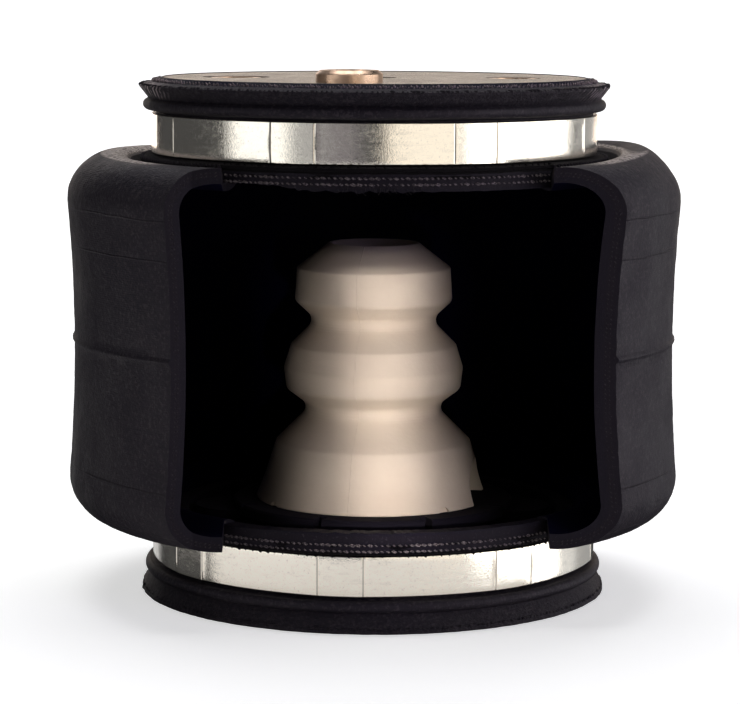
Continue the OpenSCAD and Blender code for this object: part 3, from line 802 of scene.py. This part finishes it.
def scatter(name, spots, form, finish, size, variation, spin, seed):
    """A piece of one small form at each spot: its point in mm, its facing and the way it lies."""
    mesh = bpy.data.meshes.new(name)
    mesh.from_pydata([Vector(spot[0]) * MM for spot in spots], [], [])
    on_points(mesh, "facing", [spot[1] for spot in spots])
    on_points(mesh, "along", [spot[2] for spot in spots])
    piece = add_object(name, mesh)
    nodes_on = piece.modifiers.new("forms", "NODES")
    nodes_on.node_group = SCATTER
    for label, value in (("Form", form), ("Size", size), ("Variation", variation), ("Spin", spin),
                         ("Seed", seed), ("Finish", finish)):
        nodes_on[SCATTER_SOCKETS[label]] = value
    bpy.context.view_layer.update()
    result = plain_copy(piece, name)
    result.data.shade_smooth()
    flexes(result)


def cord_end_form():
    """Cord cut on the slant: two yarns side by side, about 1.3 mm by 0.5 mm, facing +Z."""
    bm = bmesh.new()
    for side in (-1, 1):
        at = Matrix.Translation(Vector((side * 0.1, side * 0.13, 0)) * MM)
        bmesh.ops.create_uvsphere(bm, u_segments=8, v_segments=4, radius=0.5 * MM,
                                  matrix=at @ Matrix.Diagonal((1.2, 0.36, 0.36, 1)))
    return add_built("cord_end_form", bm)


def nib_form():
    """Small moulded nib, 0.8 mm by 1.9 mm, standing 0.45 mm up +Z."""
    bm = bmesh.new()
    bmesh.ops.create_cube(bm, size=1.0, matrix=Matrix.Diagonal((0.8 * MM, 1.9 * MM, 0.9 * MM, 1)))
    bmesh.ops.bevel(bm, geom=bm.edges[:], offset=0.2 * MM, segments=2, affect="EDGES")
    return add_built("nib_form", bm)


def around(radius, height, start, end, pitch, slant, facing_up=None):
    """Spots on a level arc, facing outwards, or up or down. Angles are in radians from the front."""
    count = max(1, round((end - start) * radius / pitch))
    spots = []
    for i in range(count + 1):
        theta = start + (end - start) * i / count
        out = spun(theta, 1 / MM, 0)
        sideways = Vector((math.cos(theta), math.sin(theta), 0))
        facing, rise = (Vector((0, 0, facing_up)), out) if facing_up else (out, Vector((0, 0, 1)))
        along = math.cos(slant) * sideways + math.sin(slant) * rise
        spots.append((spun(theta, radius, height) / MM, facing, along))
    return spots


def cut_side_spots(offset, side, pitch):
    """Spots down a plane-cut side of the window, where a surface of the wall meets it."""
    corner = left_corner()
    half = half_surface(offset)
    points = []
    for r, height in half + mirrored(half)[::-1][1:]:
        if r < COLLAR_R + 1.0:
            continue
        # where the circle of this radius meets the window plane
        c, s = math.cos(WINDOW_TURN), math.sin(WINDOW_TURN)
        x = s * WINDOW_DIST + side * c * math.sqrt(max(0.0, r * r - WINDOW_DIST ** 2))
        y = window_y(x)
        facing = (s, -c, 0)
        if side < 0 and r > corner.length:
            # or the turned left face
            b = LEFT_START.dot(LEFT_ALONG)
            x, y = LEFT_START - (b + math.sqrt(b * b - LEFT_START.length_squared + r * r)) * LEFT_ALONG
            facing = (LEFT_ALONG.y, -LEFT_ALONG.x, 0)
        if side < 0 and x > COLLAR_LEFT or side > 0 and x < COLLAR_RIGHT:
            continue
        points.append((Vector((x, y, height)), facing))
    spots, owed = [], 0.0
    for (a, facing), (b, _) in zip(points, points[1:]):
        length = (b - a).length
        while owed < length:
            spots.append((a.lerp(b, owed / length), facing, (b - a).normalized()))
            owed += pitch
        owed -= length
    return spots


CORD_PITCH = 1.62
CORD_SLANT = math.radians(40)
COLLAR_ROWS = {"lower": (24.9, 23.2), "upper": (26.4, 24.75)}
CUT_CORD_PITCH = 1.3
BEVEL_CORD_PITCH = 1.5
BEVEL_CORD_SLANT = 1.1
NIB_PITCH = 1.6
TAB_PITCH = 2.3
FLASH_PITCH = 1.35
FILAMENTS = 26
FILAMENT_R = 0.045
FILAMENT_POINTS = 6
FILAMENT_LENGTHS = (0.5, 1.7)
FILAMENT_LEAN = 0.9
FRAYED_SPREAD = 0.12


def both_ends(depth):
    """The same depth at the lower and at the upper end, with the side that end faces."""
    return ("lower", depth, -1), ("upper", SPRING_H - depth, 1)


def build_cord_ends():
    form = cord_end_form()
    start, end = COLLAR_SPAN
    for place, rows in COLLAR_ROWS.items():
        for row, depth in enumerate(rows):
            height = depth if place == "lower" else SPRING_H - depth
            spots = around(COLLAR_R + 0.02, height, start + 0.015, end - 0.015, CORD_PITCH, -CORD_SLANT)
            name = "%s_collar_cords_%d" % (place, row + 1)
            scatter(name, spots, form, CORD, 1.0, 0.4, 0.4, row + 3)
    for row, offset in enumerate((LINER_T + 0.5 * PLY_T, LINER_T + 1.5 * PLY_T)):
        for place, side in (("left", -1), ("right", 1)):
            spots = cut_side_spots(offset, side, CUT_CORD_PITCH)
            name = "%s_cut_cords_%d" % (place, row + 1)
            scatter(name, spots, form, CORD_DARK, 0.5, 0.4, 0.6, row + 11)
        reach = offset * BEVEL_PER_OFFSET
        for place, height, up in both_ends(LIP_CLEAR + reach * BEVEL.y):
            radius = FACE_R + reach * BEVEL.x
            spots = around(radius, height, -math.pi, math.pi, BEVEL_CORD_PITCH, BEVEL_CORD_SLANT * up)
            name = "%s_bevel_cords_%d" % (place, row + 1)
            scatter(name, spots[:-1], form, CORD_PALE, 0.95, 0.35, 0.5, row + 21)
    bpy.data.objects.remove(form)


def build_nibs():
    """Moulded nibs at the root of the sleeve, rough tabs where the knife left the collar, and lip flash."""
    form = nib_form()
    start, end = COLLAR_SPAN
    # The root nibs get the paler rubber, whose colour paints the highlights on their tips
    for place, height, up in both_ends(ROOT_DEPTH + 1.0):
        spots = around(COLLAR_R + 0.1, height, end + 0.02, 2 * math.pi + start - 0.02, NIB_PITCH, 0.5 * up)
        scatter(place + "_root_nibs", spots, form, NIB_PAINTED_HIGHLIGHT, 1.0, 0.15, 0.15, 5)
    for place, height, up in both_ends(ROOT_DEPTH - 0.1):
        spots = around(COLLAR_R - 0.55, height, start, end, TAB_PITCH, 0.3 * up)
        scatter(place + "_edge_tabs", spots, form, COVER, 0.45, 0.6, 1.4, 8)
    for place, height, up in both_ends(LIP_DEPTH - 0.1):
        spots = around(LIP_R - 0.55, height, -math.pi, math.pi, FLASH_PITCH, 0.6, up)
        scatter(place + "_lip_flash", spots[:-1], form, COVER, 0.6, 0.65, 1.2, 12)
    bpy.data.objects.remove(form)


def build_frayed_threads():
    """A few loose filaments along the inner edge of the upper collar."""
    chance = random.Random(4)
    curve = bpy.data.curves.new("frayed_threads", "CURVE")
    curve.dimensions = "3D"
    curve.bevel_depth = FILAMENT_R * MM
    curve.bevel_resolution = 1
    for _ in range(FILAMENTS):
        theta = chance.gauss(0.0, FRAYED_SPREAD)
        lean, length = chance.uniform(-FILAMENT_LEAN, FILAMENT_LEAN), chance.uniform(*FILAMENT_LENGTHS)
        edge = SPRING_H - torn_edge(COLLAR_R * math.sin(theta), True)
        strand = curve.splines.new("POLY")
        strand.points.add(FILAMENT_POINTS - 1)
        for k, point in enumerate(strand.points):
            t = k / (FILAMENT_POINTS - 1)
            out = COLLAR_R + 0.05 + 0.5 * math.sin(2.4 * t)
            point.co = (*spun(theta + lean * t * t * length / COLLAR_R, out, edge + 0.9 - length * t), 1)
    thing = add_object("frayed_threads", curve, CORD_DARK)
    bpy.context.view_layer.update()
    flexes(plain_copy(thing, "frayed_threads"))


build_frayed_threads()
build_cord_ends()
build_nibs()

# Crimp rings

JAWS = 8
RIB_HALF = math.radians(5.6)
RIB_EDGE = math.radians(1.1)
PRESS_AT_RIB = 0.1
PRESS_AT_MIDDLE = 0.55
CREASE_HALF = math.radians(0.3)
CREASE_DEPTH = 0.12
RING_STEPS = 480
RING_CROWN = 0.12
RING_SLACK = 0.05
RING_ROUND = 0.45


def from_rib(theta, first_rib):
    """How far an angle is from the middle of the nearest rib, and how near it is to the crease beside it."""
    half = math.pi / JAWS
    away = abs((theta - first_rib + half) % (2 * half) - half)
    return away, max(0.0, 1 - abs(away - RIB_HALF) / CREASE_HALF)


def crimp_press(theta, first_rib):
    """How deep the jaws have pressed the ring at an angle, in millimetres. A jaw is flatter than the ring."""
    half = math.pi / JAWS
    away, crease = from_rib(theta, first_rib)
    from_middle = min(1.0, (half - away) / (half - RIB_HALF))
    press = PRESS_AT_RIB + (PRESS_AT_MIDDLE - PRESS_AT_RIB) * (1 - from_middle ** 2)
    return CREASE_DEPTH * crease + share_between(away, RIB_HALF, RIB_HALF + RIB_EDGE) * press


def ring_angles(first_rib):
    """Even angles round a ring, closer together at the creases."""
    angles = [math.radians(360 * i / RING_STEPS) for i in range(RING_STEPS)]
    for jaw in range(JAWS):
        for side in (-1, 1):
            at = first_rib + jaw * 2 * math.pi / JAWS + side * RIB_HALF
            angles += [(at + k * CREASE_HALF / 2) % (2 * math.pi) for k in range(-3, 4)]
    return spaced(sorted(angles), lambda a, b: a - b, 0.0008)


def build_ring(node, base, up, first_rib):
    """A ring with eight pressed lands. base is the height of its outer edge, up the sign of its depth."""

    def section(theta):
        press = crimp_press(theta, first_rib)
        out = RING_OUT_R - RING_SLACK - press
        crown = RING_CROWN * max(0.0, 1 - press / PRESS_AT_RIB)
        flat = RING_H - 2 * RING_ROUND
        profile = [(CLAMP_R, 0), (out - RING_ROUND, 0)]
        profile += arc((out - RING_ROUND, RING_ROUND), RING_ROUND, -90, 0, 5)[1:]
        profile += [(out + crown * math.sin(math.pi * k / 8), RING_ROUND + flat * k / 8) for k in range(1, 8)]
        profile += arc((out - RING_ROUND, RING_H - RING_ROUND), RING_ROUND, 0, 90, 5)
        profile += [(CLAMP_R, RING_H)]
        return [(min(r, RING_OUT_R), base + up * h) for r, h in profile]

    ring = turned(node + "_metal", section, ring_angles(first_rib), ALUMINIUM)
    # Nearness to the creases, which the aluminium finish turns into painted shade
    ring.data.attributes.new(CREASE_SHADE, "FLOAT", "POINT").data.foreach_set(
        "value", [from_rib(math.atan2(v.co.x, -v.co.y), first_rib)[1] for v in ring.data.vertices])
    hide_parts(node)
    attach(ring, "upper_end" if up < 0 else "lower_end")


build_ring("upper_crimp_ring", SPRING_H - RING_DEPTH, -1, math.radians(25))
build_ring("lower_crimp_ring", RING_DEPTH, 1, math.radians(-7.9))

# Brass inserts

KNURLS = 36
KNURL_DEPTH = 0.28
INSERT_NECK_R = INSERT_R - 0.95
RIM_BELOW_FACE = 0.12


def thread(bore, depth, pitch, start, end, rows, turns):
    """Section of a thread, from one height to another. turns is how far round it is, signed by its hand."""
    points = []
    for k in range(rows + 1):
        h = start + (end - start) * k / rows
        tooth = 1 - abs(2 * ((h / pitch + turns) % 1) - 1)
        points.append((bore + depth * min(1.0, 1.25 * tooth), h))
    return points


def build_insert(node, body, x, base, up, rim):
    """A knurled insert with a real thread. Its mouth stands out of its seat by rim.

    base is the height of its seat, up the way into the plate.
    """
    def section(theta):
        turns = theta / (2 * math.pi)
        out = INSERT_R - KNURL_DEPTH * abs((turns * KNURLS) % 1 - 0.5) * 2
        groove = ((out, 0.42), (INSERT_NECK_R, 0.46), (INSERT_NECK_R, 0.6), (out, 0.64))
        profile = [(THREAD_R + THREAD_DEPTH + 0.3, -rim), (INSERT_R - 0.4, -rim), (INSERT_R - 0.2, 0.2 - rim),
                   (out, 0.3), *((r, share * INSERT_LEN) for r, share in groove),
                   (out, INSERT_LEN - 0.3), (out - 0.3, INSERT_LEN), (THREAD_R + 0.1, INSERT_LEN)]
        rows = int(INSERT_LEN / THREAD_PITCH * 10)
        profile += thread(THREAD_R, THREAD_DEPTH, THREAD_PITCH, INSERT_LEN - 0.1, 0.6, rows, up * turns)
        return [(r, base + up * h) for r, h in profile]

    insert = turned(node + "_brass", section, KNURLS * 4, BRASS)
    insert.data.transform(Matrix.Translation((x * MM, 0, 0)))
    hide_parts(node)
    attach(insert, body)


PORT_AT = Vector((-7.0, -44.0, SPRING_H))
PORT_R = 9.2
PORT_BODY_R = 8.0
PORT_BORE_R = 5.5
PORT_H = 3.4
PORT_LEN = 24.0
PORT_HOLE_R = 3.2
PORT_THREAD_END = 10.6
PORT_THREAD_DEPTH = 0.6
PORT_PITCH = 1.41
PORT_STEPS = 144


def build_port():
    """Pipe-thread port with a bevelled flange. Heights are from the mounting face."""
    groove_r = PORT_BODY_R - 0.9
    outside = braced([
        (PORT_BORE_R + 0.75, PORT_H), (PORT_R - 1.15, PORT_H), (PORT_R - 0.25, PORT_H - 0.8),
        (PORT_R, PORT_H - 1.1), (PORT_R, 0.0), (PORT_BODY_R, 0.0), (PORT_BODY_R, -9.0), (groove_r, -10.0),
        (groove_r, -13.0), (PORT_BODY_R, -14.0), (PORT_BODY_R, -PORT_LEN), (PORT_HOLE_R, -PORT_LEN),
        (PORT_HOLE_R, -PORT_THREAD_END)], 0.06)
    bottom, top = -PORT_THREAD_END, PORT_H - 0.75
    rows = int((top - bottom) / PORT_PITCH * 8)

    def section(theta):
        turns = -theta / (2 * math.pi)
        return outside + thread(PORT_BORE_R, PORT_THREAD_DEPTH, PORT_PITCH, bottom, top, rows, turns)

    port = turned("air_port_brass", section, PORT_STEPS, BRASS)
    port.data.transform(Matrix.Translation(PORT_AT * MM))
    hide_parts("air_port")
    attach(port, "upper_end")


build_port()

for side, x in (("left", -INSERT_X), ("right", INSERT_X)):
    rim = INSERT_SEAT - RIM_BELOW_FACE
    build_insert("upper_%s_insert" % side, "upper_end", x, SPRING_H - INSERT_SEAT, -1, rim)
    build_insert("lower_%s_insert" % side, "lower_end", x, INSERT_SEAT, 1, 0.0)

# Finishes of the CAD pieces

for node, finish in (("upper_end_plate", NYLON), ("lower_end_plate", NYLON_INSIDE),
                     ("lower_centre_insert", BRASS), ("bumper", URETHANE), ("bumper_spacer_tube", STEEL),
                     ("bumper_washer", STEEL), ("bumper_screw", STEEL)):
    nodes[node].data.materials.clear()
    nodes[node].data.materials.append(finish)

# Studio

STUDIO_REACH = 4.0
STUDIO_CENTRE = (0, 0, 0.075)
GLOW_GROWS = (0.35, 1.3)
WORLD_LIGHT = 0.03
WHITE = (0.86, 0.86, 0.86)
PANEL_DISTANCE = 0.85


def white_surface(name, glow, shine, shine_colour):
    """Matt white that gets up to pure white for the camera, and to a set brightness for shiny surfaces.

    The glow grows with the distance from the object, so that no line shows where the floor meets the wall.
    """
    material = bpy.data.materials.new(name)
    material.use_nodes = True
    tree = material.node_tree
    tree.nodes.clear()
    new = partial(add_node, tree)
    spot = new("ShaderNodeTexCoord")["Object"]
    away = new("ShaderNodeVectorMath", {0: spot}, operation="LENGTH")["Value"]
    inputs = {"Value": away, "From Min": GLOW_GROWS[0], "From Max": GLOW_GROWS[1], "To Min": glow}
    far = new("ShaderNodeMapRange", inputs)[0]
    rays = new("ShaderNodeLightPath")
    result = new("ShaderNodeBsdfDiffuse", {"Color": (*WHITE, 1)})[0]
    for seen, amount, tint in (("Is Camera Ray", far, (1, 1, 1)), ("Is Glossy Ray", shine, shine_colour)):
        strength = new("ShaderNodeMath", {0: rays[seen], 1: amount}, operation="MULTIPLY")
        inputs = {"Color": (*tint, 1), "Strength": strength[0]}
        light = new("ShaderNodeEmission", inputs)[0]
        result = new("ShaderNodeAddShader", {0: result, 1: light})[0]
    new("ShaderNodeOutputMaterial", {"Surface": result})
    return material


def sheet(name, corners, material, wanted=lambda row, column: True, **shown):
    """A flat or bent stage piece from rows of corners. wanted says which of its cells are made."""
    mesh = bpy.data.meshes.new(name)
    points = [Vector(p) for row in corners for p in row]
    width = len(corners[0])
    faces = [(r * width + c, r * width + c + 1, (r + 1) * width + c + 1, (r + 1) * width + c)
             for r in range(len(corners) - 1) for c in range(width - 1) if wanted(r, c)]
    mesh.from_pydata(points, [], faces)
    mesh.shade_smooth()
    stage = add_object(name, mesh, material)
    for key, value in shown.items():
        setattr(stage, "visible_" + key, value)


def add_lamp(name, kind, place, aim, energy, colour, **settings):
    """A lamp that is turned to its aim."""
    lamp = add_object(name, bpy.data.lights.new(name, kind))
    lamp.location = place
    lamp.rotation_euler = (Vector(aim) - Vector(place)).to_track_quat("-Z", "Y").to_euler()
    for key, value in dict(energy=energy, color=colour, **settings).items():
        setattr(lamp.data, key, value)
    return lamp


def glowing_card(name, place, aim, width, height, radiance, colour):
    """A flat lamp of a given radiance that the camera doesn't see."""
    card = add_lamp(name, "AREA", place, aim, radiance * math.pi * width * height, colour,
                    shape="RECTANGLE", size=width, size_y=height)
    card.visible_camera = False
    return card


def round_table(azimuth, elevation, distance, centre=STUDIO_CENTRE):
    """A point round the sleeve. The azimuth is to the right of the camera's side, in degrees."""
    a, e = math.radians(azimuth), math.radians(elevation)
    way = Vector((math.sin(a) * math.cos(e), -math.cos(a) * math.cos(e), math.sin(e)))
    return Vector(centre) + distance * way


def softbox(name, azimuth, elevation, distance, width, height, radiance, colour=(1, 1, 1)):
    """A lamp that lights everything and shows in polished metal."""
    place = round_table(azimuth, elevation, distance)
    return glowing_card(name, place, STUDIO_CENTRE, width, height, radiance, colour)


def panel(name, start, end, radiance, colour=(1, 1, 1), low=-0.26, high=0.75):
    """A glowing card between two azimuths that only shows as a shine on the object."""
    width = 2 * PANEL_DISTANCE * math.tan(math.radians(end - start) / 2)
    centre = (0, 0, (low + high) / 2)
    place = round_table((start + end) / 2, 0, PANEL_DISTANCE, centre)
    glowing_card(name, place, centre, width, high - low, radiance, colour).visible_diffuse = False


FLOOR = white_surface("studio_floor", 0.62, 0.42, (1.0, 0.95, 0.85))
WALL = white_surface("studio_wall", 0.95, 1.25, (1.0, 0.83, 0.68))

# The floor is one level grid. Polished metal mirrors only its shiny cells, round the object
FLOOR_Z = -0.0001
FLOOR_X = (-STUDIO_REACH, -0.5, -0.17, 0.1, STUDIO_REACH)
FLOOR_Y = (-STUDIO_REACH, -0.6, -0.4, -0.05, 0.12, 1.2)
SHINY_CELLS = {(1, 2), (2, 2), (2, 1), (3, 1)}
floor = [[(x, y, FLOOR_Z) for x in FLOOR_X] for y in FLOOR_Y]
sheet("floor_shiny", floor, FLOOR, lambda row, column: (row, column) in SHINY_CELLS)
sheet("floor_plain", floor, FLOOR, lambda row, column: (row, column) not in SHINY_CELLS, glossy=False)

# The wall rises from the floor's back edge in a quarter circle
WALL_BEND = 0.8
WALL_Y = FLOOR_Y[-1] + WALL_BEND
MIRRORED_WALL = 0.95
turns = [math.radians(a) for a in range(0, 91, 6)]
curve = [(WALL_Y - WALL_BEND * (1 - math.sin(a)), WALL_BEND * (1 - math.cos(a))) for a in turns]
for part, start, end in (("middle", -MIRRORED_WALL, MIRRORED_WALL), ("left", -STUDIO_REACH, -MIRRORED_WALL),
                         ("right", MIRRORED_WALL, STUDIO_REACH)):
    sheet("wall_" + part, [[(x, y, z) for x in (start, end)] for y, z in curve], WALL, glossy=part == "middle")
top = [[(x, WALL_Y, z) for x in (-STUDIO_REACH, STUDIO_REACH)] for z in (WALL_BEND, STUDIO_REACH)]
sheet("wall_top", top, WALL, glossy=False)

world = bpy.data.worlds.new("studio")
bpy.context.scene.world = world
world.use_nodes = True
sky = world.node_tree
background = sky.nodes["Background"]
seen_by_camera = add_node(sky, "ShaderNodeLightPath")["Is Camera Ray"]
strength = add_node(sky, "ShaderNodeMapRange", {"Value": seen_by_camera, "To Min": WORLD_LIGHT})
sky.links.new(strength[0], background.inputs["Strength"])
background.inputs["Color"].default_value = (1, 1, 1, 1)

# A narrow level beam of stacked spots lights the bumper, and a black card keeps it off the top bevel.
# Of each stack: the height of its lowest aim, the spacing, the beam's radius and the energies
BEAMS = {"narrow": (0.0195, 0.0125, 0.017, (4.4, 5.2, 5.4, 5.2, 5.2, 5.8, 5.6)),
         "wide": (0.022, 0.0265, 0.035, (6.6, 2.6, 4.0))}
BEAM_COLOUR = (1.0, 0.955, 0.93)
BEAM_AIM = (0.0035, -0.02)
BEAM_DISTANCE = 0.62
BEAM_AZIMUTH = 4.5
# The two lowest spots of a stack shine down a little, in degrees
BEAM_RISE = (9, 3)
for kind, (lowest, spacing, radius, energies) in BEAMS.items():
    cone = 2 * math.atan(radius / BEAM_DISTANCE)
    for k, energy in enumerate(energies):
        aim = (*BEAM_AIM, lowest + spacing * k)
        rise = BEAM_RISE[k] if k < len(BEAM_RISE) else 0
        place = round_table(BEAM_AZIMUTH, rise, BEAM_DISTANCE, aim)
        spot = add_lamp("beam_%s_%d" % (kind, k + 1), "SPOT", place, aim, energy, BEAM_COLOUR,
                        spot_size=cone, spot_blend=1.0, shadow_soft_size=0.004)
        spot.visible_glossy = False

CARD = Finish("black_card", (0, 0, 0), 0.5).material
CARD_X = (-0.03, 0.05)
CARD_Y = -0.12
CARD_Z = (0.0955, 0.16)
sheet("beam_card", [[(x, CARD_Y, z) for x in CARD_X] for z in CARD_Z], CARD,
      camera=False, diffuse=False, glossy=False, transmission=False)

softbox("overhead", 180, 75, 1.3, 1.1, 1.1, 3.35)
softbox("front_fill", 50, 12, 1.4, 0.9, 0.6, 1.85, (0.62, 0.55, 1.0)).visible_glossy = False
panel("left_dim", -135, -80, 0.035)
panel("left_white", -77, -41.5, 1.4, (1.0, 0.99, 0.95))
panel("left_grey", -40, -21, 0.42)
panel("front_mauve", -20, -6, 0.22, (0.95, 0.88, 0.95))
panel("front_dim", -5, 2, 0.09)
panel("front_cream", 5.5, 43, 1.17, (1.0, 0.92, 0.80))
panel("right_white", 46, 110, 2.5, (1.0, 0.98, 0.95))
panel("right_low", 104, 126, 0.45, high=0.0)
panel("right_grey", 116, 150, 0.36)
panel("back_left", -166, -146, 0.62)

# Camera

FOCAL_PIXELS = 2743.0
PHOTO_WIDTH = 740.0
SENSOR = 36.0
PITCH_DOWN = 7.5
ROLL = 0.25
CAMERA_AT = (-0.001, -0.796, 0.1738)

camera = add_object("camera", bpy.data.cameras.new("camera"))
camera.data.sensor_width = SENSOR
camera.data.lens = FOCAL_PIXELS / PHOTO_WIDTH * SENSOR
camera.location = CAMERA_AT
camera.rotation_euler = (Matrix.Rotation(math.radians(90 - PITCH_DOWN), 3, "X")
                         @ Matrix.Rotation(math.radians(ROLL), 3, "Z")).to_euler()
bpy.context.scene.camera = camera
bpy.context.scene.view_settings.view_transform = "Standard"
